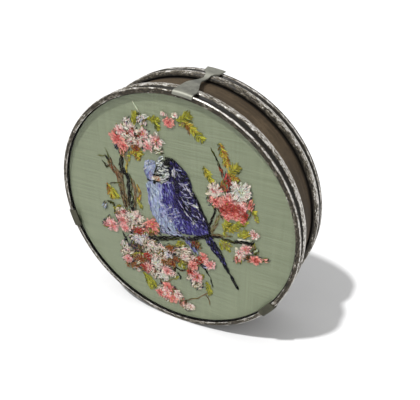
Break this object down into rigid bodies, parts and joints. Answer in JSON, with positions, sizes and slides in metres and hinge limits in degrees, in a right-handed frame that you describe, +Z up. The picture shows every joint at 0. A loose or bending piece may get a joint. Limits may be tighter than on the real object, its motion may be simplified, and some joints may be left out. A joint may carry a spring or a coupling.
{
  "type": "tea caddy",
  "caption": "Flat round tin tea caddy standing on its edge, with beaded hoops and a glazed, embroidered pull-off lid held by spring straps.",
  "frame": {"origin": "on the floor under the middle of the drum, centred across its width and its depth", "axes": "+Z up, the glazed lid faces -Y, the drum's axis runs along Y at a height of 0.105 m"},
  "size_m": [0.21, 0.0564, 0.2115],
  "materials": {
    "worn_silver": "worn silver leaf over dark brown",
    "brown_lacquer": "matte dark brown",
    "dull_tin": "dull tinned sheet",
    "strap_zinc": "smooth grey",
    "solder": "dull",
    "pane_glass": "clear, thin",
    "black_card": "matte black",
    "grey_board": "matte pulp board",
    "green_silk": "fine sage-green weave",
    "bird_thread": "silk floss",
    "bark_thread": "silk floss",
    "leaf_thread": "silk floss",
    "blossom_thread": "silk floss"
  },
  "bodies": {
    "drum": {"side_band": "brown_lacquer", "band_seam": "brown_lacquer", "rear_hoop": "worn_silver", "rear_collar": "dull_tin", "base_plate": "brown_lacquer", "liner_wall": "dull_tin", "liner_floor": "dull_tin"},
    "lid": {"front_hoop": "worn_silver", "lid_collar": "dull_tin", "glass_pane": "pane_glass", "glass_spacer": "black_card", "silk_ground": "green_silk", "embroidery_bird": "bird_thread", "embroidery_branch": "bark_thread", "embroidery_leaves": "leaf_thread", "embroidery_blossoms": "blossom_thread", "backing_card": "grey_board", "lid_back_plate": "dull_tin", "strap_top": "strap_zinc", "strap_left": "strap_zinc", "strap_right": "strap_zinc", "solder_tacks": "solder"}
  },
  "joints": [
    {"name": "lid_slide", "type": "slide", "parent": "drum", "child": "lid", "axis": [0, -1, 0], "range_m": [0, 0.06]}
  ]
}
